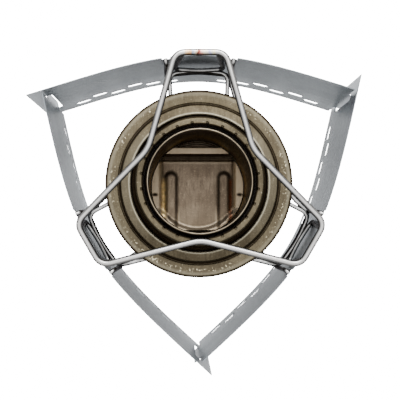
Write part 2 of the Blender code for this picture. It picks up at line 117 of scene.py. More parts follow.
def bent_path(corners, bends, closed, longest_run, even=True):
    """Straight runs joined by circular bends.

    At a corner with unit directions a and b to its neighbours and half the angle between them h, the
    bend is the arc about corner + r (a + b) / |a + b| / sin h, from corner + a r / tan h to
    corner + b r / tan h.  The result has a point every longest_run along its length, or, where even
    is off, the bends' own points and no straight run longer than that.
    """
    corners = np.asarray(corners, float)
    bends = np.asarray(bends, float)[:, None]
    before = unit(np.roll(corners, 1, 0) - corners)
    after = unit(np.roll(corners, -1, 0) - corners)
    half = 0.5 * np.arccos(np.clip((before * after).sum(1), -1, 1))
    half = np.clip(half, 1e-4, np.pi / 2 - 1e-4)[:, None]
    middle = corners + unit(before + after) * bends / np.sin(half)
    first = corners + before * bends / np.tan(half) - middle
    last = corners + after * bends / np.tan(half) - middle
    sweep = (np.pi - 2 * half)[:, :, None]
    share = np.linspace(0, 1, 7 if even else 5)[None, :, None]
    arcs = np.sin((1 - share) * sweep) * first[:, None] + np.sin(share * sweep) * last[:, None]
    points = (middle[:, None] + arcs / np.sin(sweep)).reshape(-1, 3)
    points = np.vstack([points, points[:1]]) if closed else points
    reach = np.concatenate([[0], np.cumsum(np.linalg.norm(np.diff(points, axis=0), axis=1))])
    fresh = np.concatenate([[True], np.diff(reach) > 1e-4])
    points, reach = points[fresh], reach[fresh]
    count = max(int(round(reach[-1] / longest_run)), 2)
    places = np.linspace(0, reach[-1], count + 1)
    if not even:
        places = np.unique(np.concatenate([places, reach]))
        places = places[np.concatenate([[True], np.diff(places) > 0.02])]
    path = np.stack([np.interp(places, reach, points[:, axis]) for axis in range(3)], 1)
    return path[:-1] if closed else path


def three_lobes(lobe):
    """The corners of one lobe repeated every third of a turn, clockwise from above."""
    return np.vstack([turned_about_z(np.asarray(lobe, float), -k * THIRD) for k in range(3)])


def eased(path, closed, passes):
    """Each point averaged with its neighbours, so that bends start and end softly as bent wire does."""
    for _ in range(passes):
        softer = (np.roll(path, 1, 0) + 2 * path + np.roll(path, -1, 0)) / 4
        if not closed:
            softer[[0, -1]] = path[[0, -1]]
        path = softer
    return path


def carried_circle(path, closed, radius, reference, sides=20):
    """Circle carried along a path: path + r (cos t side + sin t up), with side = tangent x reference."""
    if closed:
        tangent = unit(np.roll(path, -1, 0) - np.roll(path, 1, 0))
    else:
        tangent = unit(np.gradient(path, axis=0))
    radius = np.broadcast_to(radius, len(path))
    if not closed:
        # the wire's cut ends: a flat face with a small chamfer
        inset = 0.15 * radius[0]
        path = np.vstack([path[[0, 0]], path[:1] + tangent[:1] * inset, path[1:-1],
                          path[-1:] - tangent[-1:] * inset, path[[-1, -1]]])
        tangent = np.vstack([tangent[[0, 0]], tangent, tangent[[-1, -1]]])
        edge = [0.0, 0.85]
        radius = np.concatenate([radius[0] * np.array(edge), radius, radius[-1] * np.array(edge[::-1])])
    side = unit(np.cross(tangent, reference))
    up = np.cross(side, tangent)
    angle = 2 * np.pi * np.arange(sides) / sides
    ring = np.cos(angle)[None, :, None] * side[:, None] + np.sin(angle)[None, :, None] * up[:, None]
    return path[:, None] + radius[:, None, None] * ring


def turned_surface(section, angles):
    """Half section of radius and height turned about Z: (r cos a, r sin a, h)."""
    radius, height = section[:, :1], section[:, 1:2]
    return np.stack([radius * np.cos(angles), radius * np.sin(angles),
                     height * np.ones_like(angles)], -1)


def half_section(corners, bends, longest_run=1.2):
    """Closed half section with rounded corners, as rows of radius and height."""
    flat = np.column_stack([np.asarray(corners, float), np.zeros(len(corners))])
    return bent_path(flat, np.broadcast_to(bends, len(corners)), True, longest_run, even=False)[:, :2]


def sheet_offset(line, thickness):
    """The other face of a turned sheet: each point moved square to the line by the thickness."""
    line = np.asarray(line, float)
    along = unit(np.gradient(line, axis=0))
    return line + thickness * np.column_stack([-along[:, 1], along[:, 0]])


def soft_step(value, low, high):
    """0 below low, 1 above high and a smooth curve between."""
    share = np.clip((value - low) / (high - low), 0, 1)
    return share * share * (3 - 2 * share)


# ---------------------------------------------------------------- meshes

def mesh_from_arrays(name, points, faces, uv):
    """Mesh of quads with one UV map, named surface, in millimetres along the surface."""
    mesh = bpy.data.meshes.new(name)
    mesh.vertices.add(len(points))
    mesh.vertices.foreach_set("co", (points * MM).ravel())
    mesh.loops.add(faces.size)
    mesh.loops.foreach_set("vertex_index", faces.ravel())
    mesh.polygons.add(len(faces))
    mesh.polygons.foreach_set("loop_start", np.arange(0, faces.size, 4))
    mesh.update(calc_edges=True)
    mesh.uv_layers.new(name="surface").uv.foreach_set("vector", uv.ravel())
    return mesh


def grid_mesh(name, points, wrap_rows, wrap_columns, u=None, v=None):
    """Quads between neighbours of a grid of points, whose ends meet where a direction wraps."""
    rows, columns = points.shape[:2]
    row = np.arange(rows if wrap_rows else rows - 1)[:, None]
    column = np.arange(columns if wrap_columns else columns - 1)[None, :]
    row, column = np.broadcast_arrays(row, column)
    corners = [(row, column), (row + 1, column), (row + 1, column + 1), (row, column + 1)]
    faces = np.stack([(r % rows) * columns + c % columns for r, c in corners], -1).reshape(-1, 4)
    u = np.arange(rows + 1.0) if u is None else u
    v = np.arange(columns + 1.0) if v is None else v
    uv = np.stack([np.stack([u[r], v[c]], -1) for r, c in corners], -2).reshape(-1, 2)
    return mesh_from_arrays(name, points.reshape(-1, 3), faces, uv)


def add_field(mesh, name, values):
    """A number at each point, which the finishes read, such as how dark it is painted with soot and shade."""
    mesh.attributes.new(name, "FLOAT", "POINT").data.foreach_set("value", np.ravel(values))


def add_piece(mesh, finish, body, stands_for, sharp=40):
    """Close the mesh's seams and poles, turn its faces outwards and hand it to its body."""
    solid = bmesh.new()
    solid.from_mesh(mesh)
    bmesh.ops.remove_doubles(solid, verts=solid.verts[:], dist=1e-7)
    bmesh.ops.recalc_face_normals(solid, faces=solid.faces[:])
    solid.to_mesh(mesh)
    solid.free()
    mesh.shade_smooth()
    mesh.set_sharp_from_angle(angle=np.radians(sharp))
    mesh.materials.append(finish)
    piece = bpy.data.objects.new(mesh.name, mesh)
    bpy.context.scene.collection.objects.link(piece)
    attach(piece, body)
    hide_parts(*stands_for)
    return piece


def wire_mesh(name, path, closed, radius, reference=(0, 0, 1), sides=20, soot_and_shade=None):
    """Round wire whose UV map runs along it and around it, with painted shade on its upper flanks.

    The function passed for soot and shade tells how dark each point of its centre line is painted. Both the
    flank shade and this shade are painted lighter on the side that faces away from the burner.
    """
    tube = carried_circle(path, closed, radius, np.asarray(reference, float), sides)
    centre = tube.mean(axis=1)
    steps = np.linalg.norm(np.diff(np.vstack([centre, centre[:1]]), axis=0), axis=1)
    along = np.concatenate([[0], np.cumsum(steps)])
    around = np.linspace(0, 2 * np.pi * np.max(radius), sides + 1)
    mesh = grid_mesh(name, tube, closed, True, along, around)
    normal = unit(tube - centre[:, None])
    # painted shade on the wire's flanks, standing in for the dark edges that reflections give
    painted_flank_shade = (1 - soft_step(normal[..., 2], 0.55, 0.99)) * soft_step(normal[..., 2], -0.2, 0.2)
    if soot_and_shade is not None:
        # painted light: the flank shade and the painted wire shade are lighter on the side facing away from
        # the burner
        outward = unit(centre * (1, 1, 0))[:, None]
        lighter_outer_side = 1 - 0.85 * soft_step((normal * outward).sum(-1), 0.3, 0.8)
        painted_flank_shade = painted_flank_shade * lighter_outer_side
        add_field(mesh, "soot_and_shade", soot_and_shade(centre)[:, None] * lighter_outer_side)
    add_field(mesh, "painted_flank_shade", painted_flank_shade)
    return mesh


# ---------------------------------------------------------------- finishes

def add_node(tree, kind, inputs=None, **settings):
    """A node with its settings, whose inputs are numbers or other nodes' outputs."""
    node = tree.nodes.new("ShaderNode" + kind)
    for key, value in settings.items():
        setattr(node, key, value)
    for key, value in (inputs or {}).items():
        if isinstance(value, bpy.types.NodeSocket):
            tree.links.new(value, node.inputs[key])
        else:
            node.inputs[key].default_value = value
    return node


def new_finish(name, roughness, metallic=1.0):
    """A material with a Principled shader: (material, tree, shader)."""
    finish = bpy.data.materials.new(name)
    finish.use_nodes = True
    tree = finish.node_tree
    shader = tree.nodes["Principled BSDF"]
    shader.inputs["Metallic"].default_value = metallic
    shader.inputs["Roughness"].default_value = roughness
    return finish, tree, shader


def place_mm(tree, scale=(1, 1, 1)):
    """Object coordinates in millimetres, stretched by scale."""
    place = add_node(tree, "TexCoord").outputs["Object"]
    stretch = tuple(1000 * value for value in scale)
    return add_node(tree, "Mapping", {"Vector": place, "Scale": stretch}).outputs["Vector"]


def surface_mm(tree, scale=(1, 1, 1)):
    """The piece's own map, in millimetres along its surface, stretched by scale."""
    place = add_node(tree, "UVMap", uv_map="surface").outputs["UV"]
    return add_node(tree, "Mapping", {"Vector": place, "Scale": scale}).outputs["Vector"]


def noise(tree, vector, size, detail=4.0, rough=0.55):
    """Soft noise with features of about this size, from 0 to 1."""
    inputs = {"Vector": vector, "Scale": 1 / size, "Detail": detail, "Roughness": rough}
    return add_node(tree, "TexNoise", inputs).outputs["Fac"]


def spread(tree, value, from_low, from_high, low, high):
    """A value carried from one range to another, and kept inside it."""
    inputs = {"Value": value, "From Min": from_low, "From Max": from_high, "To Min": low, "To Max": high}
    return add_node(tree, "MapRange", inputs).outputs["Result"]


def mixed(tree, factor, first, second, blend="MIX"):
    """Two colours mixed by a factor."""
    node = add_node(tree, "Mix", data_type="RGBA", blend_type=blend)
    for index, value in ((0, factor), (6, first), (7, second)):
        if isinstance(value, bpy.types.NodeSocket):
            tree.links.new(value, node.inputs[index])
        else:
            node.inputs[index].default_value = value if index == 0 else (*value, 1.0)
    return node.outputs[2]


def ramp(tree, value, stops):
    """Colour ramp through (place, colour) stops."""
    node = add_node(tree, "ValToRGB", {"Fac": value})
    elements = node.color_ramp.elements
    while len(elements) < len(stops):
        elements.new(1.0)
    for element, (place, colour) in zip(elements, stops):
        element.position = place
        element.color = (*colour, 1.0)
    return node.outputs["Color"]


def arithmetic(tree, operation, first, second=0.0):
    """One step of arithmetic on two numbers."""
    return add_node(tree, "Math", {0: first, 1: second}, operation=operation).outputs["Value"]


def from_axis(tree, place):
    """Distance of a place from the Z axis."""
    flat = add_node(tree, "VectorMath", {0: place, 1: (1, 1, 0)}, operation="MULTIPLY").outputs["Vector"]
    return add_node(tree, "VectorMath", {0: flat}, operation="LENGTH").outputs["Value"]


def raised(tree, shader, height, depth_mm, strength=1.0):
    """Bump from a height of 0 to 1."""
    inputs = {"Height": height, "Distance": depth_mm * MM, "Strength": strength}
    bump = add_node(tree, "Bump", inputs)
    tree.links.new(bump.outputs["Normal"], shader.inputs["Normal"])


def windshield_finish():
    """Rolled sheet steel: bluish grey, faint rolling lines and soft clouds, and painted light towards its
    foot.
    """
    finish, tree, shader = new_finish("rolled_windshield_steel", 0.3)
    shader.inputs["Specular Tint"].default_value = (0.86, 0.87, 0.88, 1.0)
    lines = noise(tree, surface_mm(tree, (0.03, 2.2, 1)), 1.0, 5.0, 0.6)
    cloud = noise(tree, surface_mm(tree), 16.0, 2.0)
    colour = mixed(tree, spread(tree, cloud, 0.3, 0.7, 0, 1), (0.168, 0.185, 0.198), (0.208, 0.226, 0.240))
    colour = mixed(tree, spread(tree, lines, 0.3, 0.7, 0, 0.25), colour, (0.15, 0.167, 0.18))
    # painted light: lighter towards the foot, standing in for the bright floor that the lower sheet reflects
    height = add_node(tree, "SeparateXYZ", {"Vector": place_mm(tree)}).outputs["Z"]
    colour = mixed(tree, spread(tree, height, 3.0, 18.0, 0.55, 0.0), colour, (0.44, 0.465, 0.48))
    tree.links.new(colour, shader.inputs["Base Color"])
    tree.links.new(spread(tree, lines, 0.25, 0.75, 0.25, 0.36), shader.inputs["Roughness"])
    raised(tree, shader, lines, 0.004, 0.5)
    return finish


def pot_ring_finish():
    """Bright drawn wire with fine drawing lines, heat colours beside the butt weld and painted shade on its
    flanks.
    """
    finish, tree, shader = new_finish("drawn_pot_ring_steel", 0.26)
    shader.inputs["Specular Tint"].default_value = (0.35, 0.35, 0.36, 1.0)
    lines = noise(tree, surface_mm(tree, (0.12, 4.0, 1)), 1.0, 4.0, 0.6)
    cloud = noise(tree, place_mm(tree), 7.0, 3.0)
    steel = mixed(tree, spread(tree, cloud, 0.3, 0.7, 0, 1), (0.46, 0.449, 0.430), (0.55, 0.541, 0.528))
    steel = mixed(tree, spread(tree, lines, 0.3, 0.7, 0, 0.3), steel, (0.38, 0.37, 0.355))
    place = add_node(tree, "SeparateXYZ", {"Vector": place_mm(tree)})
    wander = spread(tree, noise(tree, place_mm(tree), 1.6, 3.0), 0.3, 0.7, -0.5, 0.5)
    across = arithmetic(tree, "ADD", place.outputs["X"], wander)
    share = spread(tree, across, WELD_X - 7.0, WELD_X + 7.0, 0, 1)
    plain = (0.70, 0.69, 0.66)
    stops = [(0.10, plain), (0.22, (0.80, 0.50, 0.26)), (0.30, (0.62, 0.36, 0.16)),
             (0.335, (0.26, 0.29, 0.38)), (0.40, (0.62, 0.64, 0.62)), (0.455, (0.66, 0.50, 0.34)),
             (0.49, (0.16, 0.045, 0.03)),
             (0.525, (0.20, 0.05, 0.035)), (0.56, (0.72, 0.34, 0.28)), (0.63, (0.78, 0.66, 0.48)),
             (0.74, (0.66, 0.62, 0.54)), (0.79, (0.38, 0.37, 0.58)), (0.84, (0.62, 0.60, 0.52)),
             (0.90, (0.74, 0.64, 0.36)), (0.98, plain)]
    tint = ramp(tree, share, stops)
    near = spread(tree, place.outputs["Y"], 42.0, 44.5, 0, 1)
    from_weld = arithmetic(tree, "ABSOLUTE", arithmetic(tree, "SUBTRACT", place.outputs["X"], WELD_X))
    inside = spread(tree, from_weld, 5.5, 7.5, 1, 0)
    colour = mixed(tree, arithmetic(tree, "MULTIPLY", near, inside), steel, tint)
    # painted shade on the wire's flanks
    painted_flank_shade = add_node(tree, "Attribute", attribute_name="painted_flank_shade").outputs["Fac"]
    colour = mixed(tree, spread(tree, painted_flank_shade, 0, 1, 0, 0.92), colour, (0.052, 0.050, 0.049))
    tree.links.new(colour, shader.inputs["Base Color"])
    tree.links.new(spread(tree, lines, 0.25, 0.75, 0.2, 0.34), shader.inputs["Roughness"])
    raised(tree, shader, lines, 0.006, 0.4)
    return finish


def cradle_finish():
    """Thinner wire with brighter and darker patches, painted shade where its field says, and painted shade on
    its flanks.
    """
    finish, tree, shader = new_finish("shade_darkened_wire", 0.28)
    shader.inputs["Specular Tint"].default_value = (0.25, 0.25, 0.26, 1.0)
    cloud = noise(tree, place_mm(tree), 3.5, 4.0)
    lines = noise(tree, surface_mm(tree, (0.15, 4.0, 1)), 1.0, 3.0)
    colour = mixed(tree, spread(tree, cloud, 0.35, 0.65, 0, 1), (0.40, 0.395, 0.385), (0.64, 0.635, 0.62))
    # painted shade where the wire's field says
    soot_and_shade = add_node(tree, "Attribute", attribute_name="soot_and_shade").outputs["Fac"]
    uneven = arithmetic(tree, "MULTIPLY", soot_and_shade, spread(tree, cloud, 0.25, 0.75, 1.0, 0.75))
    colour = mixed(tree, uneven, colour, (0.06, 0.058, 0.057))
    # painted shade on the wire's flanks
    painted_flank_shade = add_node(tree, "Attribute", attribute_name="painted_flank_shade").outputs["Fac"]
    colour = mixed(tree, spread(tree, painted_flank_shade, 0, 1, 0, 0.75), colour, (0.06, 0.058, 0.057))
    tree.links.new(colour, shader.inputs["Base Color"])
    tree.links.new(spread(tree, lines, 0.25, 0.75, 0.22, 0.36), shader.inputs["Roughness"])
    raised(tree, shader, lines, 0.006, 0.4)
    return finish


def brass_finish(name, light, dark, soot_and_shade_colour, roughness, bright_brass_and_highlight=(0.50, 0.46, 0.34)):
    """Aged brass: turned rings, upright brush strokes, brown patches, soot and painted shade where one field
    says, and painted highlights where another says.
    """
    finish, tree, shader = new_finish(name, roughness)
    shader.inputs["Specular Tint"].default_value = (0.45, 0.38, 0.27, 1.0)
    place = place_mm(tree)
    radius = from_axis(tree, place)
    rings = add_node(tree, "TexNoise", {"W": radius, "Scale": 2.6, "Detail": 5.0, "Roughness": 0.7},
                     noise_dimensions="1D").outputs["Fac"]
    strokes = noise(tree, place_mm(tree, (1.6, 0.22, 0.22)), 1.0, 4.0, 0.65)
    patches = noise(tree, place, 9.0, 4.0, 0.6)
    grains = noise(tree, place, 0.7, 3.0, 0.7)
    colour = mixed(tree, spread(tree, patches, 0.35, 0.65, 0, 1), light, dark)
    colour = mixed(tree, spread(tree, strokes, 0.42, 0.68, 0, 0.5), colour, dark)
    colour = mixed(tree, spread(tree, rings, 0.45, 0.7, 0, 0.3), colour, soot_and_shade_colour)
    colour = mixed(tree, spread(tree, grains, 0.60, 0.74, 0, 0.4), colour, bright_brass_and_highlight)
    # soot and painted shade, as the piece's field says
    soot_and_shade = add_node(tree, "Attribute", attribute_name="soot_and_shade").outputs["Fac"]
    uneven = arithmetic(tree, "MULTIPLY", soot_and_shade, spread(tree, patches, 0.25, 0.75, 0.8, 1.15))
    # painted highlights and painted light, as the piece's field says; the same bright colour also marks the
    # random bright grains
    painted_highlight_amount = add_node(tree, "Attribute", attribute_name="painted_highlight").outputs["Fac"]
    colour = mixed(tree, painted_highlight_amount, colour, bright_brass_and_highlight)
    colour = mixed(tree, spread(tree, uneven, 0, 1, 0, 1), colour, soot_and_shade_colour)
    tree.links.new(colour, shader.inputs["Base Color"])
    rough = arithmetic(tree, "ADD", spread(tree, strokes, 0.3, 0.7, roughness - 0.06, roughness + 0.1),
                       arithmetic(tree, "MULTIPLY", soot_and_shade, 0.25))
    tree.links.new(rough, shader.inputs["Roughness"])
    height = arithmetic(tree, "ADD", arithmetic(tree, "MULTIPLY", rings, 0.6), strokes)
    raised(tree, shader, height, 0.012, 0.5)
    return finish


def collar_finish():
    """The collar's brass, with small painted highlight spots round the outer flange."""
    finish = brass_finish("aged_collar_brass", (0.130, 0.109, 0.069), (0.082, 0.067, 0.043),
                          (0.026, 0.018, 0.010), 0.44)
    tree = finish.node_tree
    shader = tree.nodes["Principled BSDF"]
    colour = shader.inputs["Base Color"].links[0].from_socket
    place = place_mm(tree)
    radius = from_axis(tree, place)
    # painted highlights: small glints in a band round the outer flange, in place of light caught on raised
    # relief
    spots = spread(tree, noise(tree, place, 0.9, 2.0, 0.5), 0.585, 0.665, 0, 1)
    patches = spread(tree, noise(tree, place, 9.0, 2.0), 0.42, 0.6, 0, 1)
    band = arithmetic(tree, "SUBTRACT", radius, 35.1)
    band = spread(tree, arithmetic(tree, "ABSOLUTE", band), 0.5, 1.1, 1, 0)
    painted_glints = arithmetic(tree, "MULTIPLY", arithmetic(tree, "MULTIPLY", spots, band), patches)
    painted_glints = arithmetic(tree, "MULTIPLY", painted_glints, 0.8)
    tree.links.new(mixed(tree, painted_glints, colour, (0.80, 0.72, 0.50)), shader.inputs["Base Color"])
    return finish


def insert_finish():
    """The cup's pressed insert: brushed brown metal with burnt orange and red stains by the ribs."""
    finish = brass_finish("stained_insert_brass", (0.185, 0.145, 0.103), (0.110, 0.083, 0.058),
                          (0.030, 0.020, 0.012), 0.42, (0.50, 0.41, 0.29))
    tree = finish.node_tree
    shader = tree.nodes["Principled BSDF"]
    colour = shader.inputs["Base Color"].links[0].from_socket
    for field, stain in (("amber", (1.0, 0.74, 0.34)), ("rust", (0.20, 0.055, 0.018))):
        amount = add_node(tree, "Attribute", attribute_name=field).outputs["Fac"]
        patchy = spread(tree, noise(tree, place_mm(tree), 2.2, 3.0), 0.3, 0.6, 0.35, 1)
        colour = mixed(tree, arithmetic(tree, "MULTIPLY", amount, patchy), colour, stain)
    tree.links.new(colour, shader.inputs["Base Color"])
    return finish


def wick_finish():
    """Packed cotton: pale, fibrous, and charred towards its top."""
    finish, tree, shader = new_finish("charred_cotton", 0.95, 0.0)
    place = place_mm(tree)
    fibres = noise(tree, place_mm(tree, (2.5, 2.5, 0.5)), 1.0, 5.0, 0.7)
    cotton = mixed(tree, spread(tree, fibres, 0.3, 0.7, 0, 1), (0.42, 0.36, 0.27), (0.70, 0.64, 0.54))
    height = add_node(tree, "SeparateXYZ", {"Vector": place}).outputs["Z"]
    char = spread(tree, height, 22.0, 37.0, 0, 1)
    tree.links.new(mixed(tree, char, cotton, (0.02, 0.015, 0.012)), shader.inputs["Base Color"])
    raised(tree, shader, fibres, 0.2, 0.8)
    return finish


# ---------------------------------------------------------------- windshield

def inside_box(place, low_s, high_s, low_z, high_z):
    """Distance in from the edges of a rectangle, below zero outside it."""
    s, z = place[..., 0], place[..., 1]
    return np.minimum(np.minimum(s - low_s, high_s - s), np.minimum(z - low_z, high_z - z))


def outside_slot(place, centre_s, centre_z, length_s, length_z):
    """Distance from the edge of a round-ended slot, below zero inside it."""
    round_end = min(length_s, length_z) / 2
    away_s = np.maximum(np.abs(place[..., 0] - centre_s) - (length_s / 2 - round_end), 0)
    away_z = np.maximum(np.abs(place[..., 1] - centre_z) - (length_z / 2 - round_end), 0)
    return np.hypot(away_s, away_z) - round_end


def sheet_bow():
    """The bowed sheet's middle line: x, y, lean and length from the middle, for x >= 0, and its crossing.

    With q = 1 - x / half chord, y = corner + rise (F q - (F - 1) q ^ (F / (F - 1))), and past the
    corner the line runs straight on.  The crossing is the length from the middle to the corner.
    """
    half_chord = CORNER_RADIUS * np.cos(np.radians(30))
    corner_y = CORNER_RADIUS * np.sin(np.radians(30))
    rise = BULGE_RADIUS - corner_y
    power = BOW_FULLNESS / (BOW_FULLNESS - 1)
    x = np.linspace(0, half_chord + 10, 1401)
    share = 1 - x / half_chord
    inside = np.maximum(share, 0)
    y = corner_y + rise * (BOW_FULLNESS * share - (BOW_FULLNESS - 1) * inside ** power)
    length = np.concatenate([[0], np.cumsum(np.hypot(np.diff(x), np.diff(y)))])
    lean = -np.arctan(rise / half_chord * BOW_FULLNESS * (1 - inside ** (power - 1)))
    return x, y, lean, length, np.interp(half_chord, x, length)


def inside_sheet(place):
    """Distance in from the sheet's outline, its latch slot, vents and notches."""
    crossing = sheet_bow()[-1]
    shoulder = crossing - SHOULDER_SETBACK
    body = inside_box(place, -crossing - OVERHANG, shoulder, 0, SHEET_HEIGHT)
    tongue = inside_box(place, shoulder - 4, crossing + TONGUE,
                        LATCH_LOW + TONGUE_PLAY, LATCH_HIGH - TONGUE_PLAY)
    depth = np.maximum(body, tongue)
    depth = np.minimum(depth, outside_slot(place, LATCH_INSET - crossing, (LATCH_LOW + LATCH_HIGH) / 2,
                                           LATCH_WIDTH, LATCH_HIGH - LATCH_LOW))
    for side in (-1, 1):
        notch = outside_slot(place, side * NOTCH_PLACE, SHEET_HEIGHT, NOTCH_WIDTH, 2 * NOTCH_DEPTH)
        depth = np.minimum(depth, notch)
        for index, middle in enumerate(VENT_MIDDLES):
            centre = side * (FIRST_VENT + index) * VENT_PITCH
            depth = np.minimum(depth, outside_slot(place, centre, middle, VENT_LENGTH, VENT_HEIGHT))
    return depth


def cut_sheet():
    """Flat sheet as a grid of length s and height z, with the cells outside the outline left out.

    The grid points on the edge of what is left move onto the outline: place - depth * slope of depth.
    """
    crossing = sheet_bow()[-1]
    low, high = -crossing - OVERHANG, crossing + TONGUE
    s = np.linspace(low, high, int((high - low) / SHEET_STEP) + 1)
    z = np.linspace(0, SHEET_HEIGHT, int(SHEET_HEIGHT / SHEET_STEP) + 1)
    grid = np.stack(np.meshgrid(s, z, indexing="ij"), -1)
    index = np.arange(grid.shape[0] * grid.shape[1]).reshape(grid.shape[:2])
    kept = inside_sheet((grid[:-1, :-1] + grid[1:, 1:]) / 2) > 0
    quads = np.stack([index[:-1, :-1], index[1:, :-1], index[1:, 1:], index[:-1, 1:]], -1)[kept]
    edges = np.concatenate([quads[:, [k, (k + 1) % 4]] for k in range(4)])
    forward = edges[:, 0] * index.size + edges[:, 1]
    backward = edges[:, 1] * index.size + edges[:, 0]
    border = edges[~np.isin(forward, backward)]
    flat = grid.reshape(-1, 2)
    rim = np.unique(border)
    nudge = 0.02
    for _ in range(3):
        here = flat[rim]
        slope = np.stack([inside_sheet(here + step) - inside_sheet(here - step)
                          for step in (np.array([nudge, 0]), np.array([0, nudge]))], -1) / (2 * nudge)
        flat[rim] = here - inside_sheet(here)[:, None] * slope
    used, quads = np.unique(quads, return_inverse=True)
    renumbered = np.zeros(index.size, int)
    renumbered[used] = np.arange(len(used))
    return flat[used], quads.reshape(-1, 4), renumbered[border]


def windshield_sheet(name, angle):
    """The cut sheet given its two faces and bowed: the line's point plus the offset square to it."""
    flat, quads, border = cut_sheet()
    line_x, line_y, line_lean, length, _ = sheet_bow()
    reach = np.abs(flat[:, 0])
    x = np.sign(flat[:, 0]) * np.interp(reach, length, line_x)
    y = np.interp(reach, length, line_y)
    lean = np.sign(flat[:, 0]) * np.interp(reach, length, line_lean)
    faces = []
    for offset in (SHEET_THICKNESS / 2, -SHEET_THICKNESS / 2):
        faces.append(np.stack([x - offset * np.sin(lean), y + offset * np.cos(lean),
                               flat[:, 1] + GROUND], -1))
    count = len(flat)
    edge = np.stack([border[:, 1], border[:, 0], border[:, 0] + count, border[:, 1] + count], -1)
    all_quads = np.vstack([quads[:, ::-1], quads + count, edge])
    points = turned_about_z(np.vstack(faces), angle)
    uv = np.vstack([flat, flat])[all_quads.ravel()]
    return mesh_from_arrays(name, points, all_quads, uv)


# ---------------------------------------------------------------- wires

def pot_ring_mesh():
    """Three-lobed ring of thick wire with a small bead at its butt weld."""
    slope = np.array([np.sin(LEG_ANGLE), -np.cos(LEG_ANGLE)])
    line = np.array([np.cos(np.radians(30)), np.sin(np.radians(30))])
    end = (POT_END_X, POT_END_LINE)
    reach = (end[1] * line[0] - end[0] * line[1]) / (slope[0] * line[1] - slope[1] * line[0])
    inner = (end[0] + reach * slope[0]) / line[0] * line
    corners = []
    for lobe, end_y in enumerate(POT_END_Y):
        side = POT_END_X - (end_y - POT_END_LINE) * np.tan(LEG_ANGLE)
        bar = [(-side, end_y, POT_RING_Z), (side, end_y, POT_RING_Z), (inner[0], inner[1], POT_RING_Z)]
        corners.append(turned_about_z(np.array(bar), -lobe * THIRD))
    path = eased(bent_path(np.vstack(corners), [4.4, 4.4, 14.0] * 3, True, 0.4), True, 6)
    bead = np.exp(-((path[:, 0] - WELD_X) / 0.45) ** 2) * (path[:, 1] > 40)
    path[:, 2] -= 0.05 * bead
    radius = POT_WIRE * (1 + 0.05 * bead)
    mesh = wire_mesh("pot_ring_wire", path, True, radius, sides=24)
    points = np.empty(len(mesh.vertices) * 3)
    mesh.vertices.foreach_get("co", points)
    points[2::3] = np.minimum(points[2::3], (POT_RING_Z + POT_WIRE) * MM)
    mesh.vertices.foreach_set("co", points)
    return mesh


def cradle_ring_path():
    """Three-lobed ring under the flange, whose legs run in to a circle round the bowl."""
    slope = np.array([np.sin(LEG_ANGLE), -np.cos(LEG_ANGLE)])
    start = np.array([12.3, 45.0])
    along = -start @ slope
    foot = start + (along - np.sqrt(along ** 2 - start @ start + CRADLE_HUG ** 2)) * slope
    first = np.arctan2(foot[1], foot[0])
    angles = np.linspace(first, np.radians(60) - first, 9)
    arc = [(CRADLE_HUG * np.cos(a), CRADLE_HUG * np.sin(a), CRADLE_Z) for a in angles]
    lobe = [(-start[0], start[1], CRADLE_Z), (0, 46.3, CRADLE_Z), (start[0], start[1], CRADLE_Z)] + arc
    bends = [3.2, 50.0, 3.2, 3.2] + [0.0] * 7 + [3.2]
    return eased(bent_path(three_lobes(lobe), bends * 3, True, 0.45), True, 6)


def bracket_path():
    """U-shaped riser: a bar bowed inwards and two arms that rise to the pot ring's end bar."""
    top = POT_RING_Z - POT_WIRE
    corners = [(-6.4, POT_END_LINE, top), (-10.0, 46.7, BRACKET_Z), (0, 46.0, BRACKET_Z),
               (10.0, 46.7, BRACKET_Z), (6.4, POT_END_LINE, top)]
    return eased(bent_path(corners, [0, 2.2, 60.0, 2.2, 0], False, 0.45), False, 4)


def rest_loop_path():
    """Flat loop under the flange: an end bar bowed outwards and two arms."""
    corners = [(-11.3, 31.9), (-11.9, 45.0), (0, 46.3), (11.9, 45.0), (11.3, 31.9)]
    corners = [(x, y, REST_Z) for x, y in corners]
    return eased(bent_path(corners, [0, 3.2, 50.0, 3.2, 0], False, 0.45), False, 4)


def hanger_path(side):
    """Wire that lies in a notch of the sheet's top edge and runs down to the cradle ring."""
    notch = GROUND + SHEET_HEIGHT - NOTCH_DEPTH + THIN_WIRE + 0.3
    foot = CRADLE_Z + CRADLE_WIRE + 0.3
    corners = [(side * 13.3, 47.7, notch), (side * 12.9, 45.8, notch), (side * 13.1, 44.3, foot)]
    return eased(bent_path(corners, [0, 1.2, 0], False, 0.4), False, 3)


def bracket_painted_shade(centre):
    """Painted shade: the riser's low bar is darkened, and its arms are painted lighter towards the pot ring.
    """
    return 0.75 - 0.4 * soft_step(centre[:, 2], BRACKET_Z + 1, BRACKET_Z + 14)


def loop_painted_shade(centre):
    """Painted shade: the end bars, out by the sheets, are darkened, and the arms, nearer the burner, are left
    light.
    """
    return 0.15 + 0.5 * soft_step(np.hypot(centre[:, 0], centre[:, 1]), 43.5, 46.0)


def hanger_painted_shade(centre):
    """Painted shade: light where the wire lies in its notch, darker lower down."""
    return 0.1 + 0.6 * soft_step(-centre[:, 2], -38.5, -34.0)


# ---------------------------------------------------------------- burner

